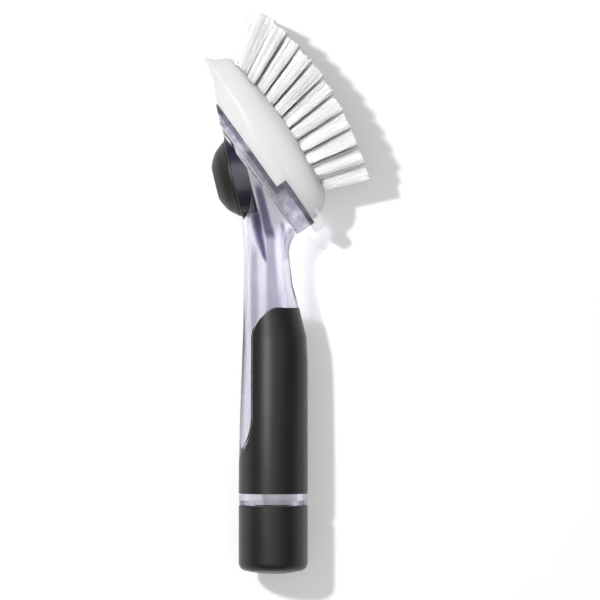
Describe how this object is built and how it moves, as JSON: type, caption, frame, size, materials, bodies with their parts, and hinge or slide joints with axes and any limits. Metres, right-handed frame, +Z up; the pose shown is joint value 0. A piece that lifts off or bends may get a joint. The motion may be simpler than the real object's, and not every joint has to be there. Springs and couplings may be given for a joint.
{
  "type": "soap-dispensing dish wand",
  "caption": "Dish wand with a hollow clear handle for soap, soft grip, twist-off end cap, rubber push button and a clip-on brush head with fanned bristles and a scraper lip.",
  "frame": {"origin": "middle of the flat pad on the end of the cap, on the handle's axis", "axes": "+Y up the handle towards the head, +X towards the bristle side, +Z up, across the handle, with the wand lying on its side"},
  "size_m": [0.0796, 0.2679, 0.047],
  "materials": {
    "clear_plastic": "clear, faint violet tint, polished",
    "soft_grip": "soft-touch, matte",
    "black_plastic": "moulded, matte",
    "silicone": "translucent silicone, satin",
    "button_rubber": "matte rubber",
    "white_plastic": "moulded, satin gloss",
    "nylon_tufts": "straight nylon filaments",
    "staple_wire": "drawn flat wire"
  },
  "bodies": {
    "handle": {"handle_body": "clear_plastic", "grip_sleeve": "soft_grip", "head_plate": "clear_plastic", "outlet_valve": "silicone", "valve_ring": "white_plastic", "button_collar": "button_rubber"},
    "button": {"soap_button": "button_rubber"},
    "brush_head": {"brush_base": "white_plastic", "tuft_row_1": "nylon_tufts", "tuft_row_2": "nylon_tufts", "tuft_row_3": "nylon_tufts", "tuft_row_4": "nylon_tufts", "tuft_row_5": "nylon_tufts", "tuft_row_6": "nylon_tufts", "tuft_row_7": "nylon_tufts", "tuft_anchors_1": "staple_wire", "tuft_anchors_2": "staple_wire", "tuft_anchors_3": "staple_wire", "tuft_anchors_4": "staple_wire", "tuft_anchors_5": "staple_wire", "tuft_anchors_6": "staple_wire", "tuft_anchors_7": "staple_wire"},
    "seal": {"cap_seal": "silicone"},
    "end_cap": {"cap_cover": "soft_grip", "cap_core": "black_plastic"}
  },
  "joints": [
    {"name": "button_press", "type": "slide", "parent": "handle", "child": "button", "axis": [0.9718, 0.2359, 0], "range_m": [0, 0.0035], "stiffness_N_per_m": 900},
    {"name": "brush_head_release", "type": "slide", "parent": "handle", "child": "brush_head", "axis": [0.8141, 0.5807, 0], "range_m": [0, 0.03]},
    {"name": "cap_back_off", "type": "slide", "parent": "handle", "child": "seal", "axis": [0, -1, 0], "range_m": [0, 0.0136]},
    {"name": "cap_turn", "type": "hinge", "parent": "seal", "child": "end_cap", "pos_m": [0, 0.016, 0], "axis": [0, -1, 0], "range_deg": [0, 810]}
  ],
  "couplings": [
    {"joint": "cap_back_off", "follows": "cap_turn", "m_per_rad": 0.00095493}
  ]
}
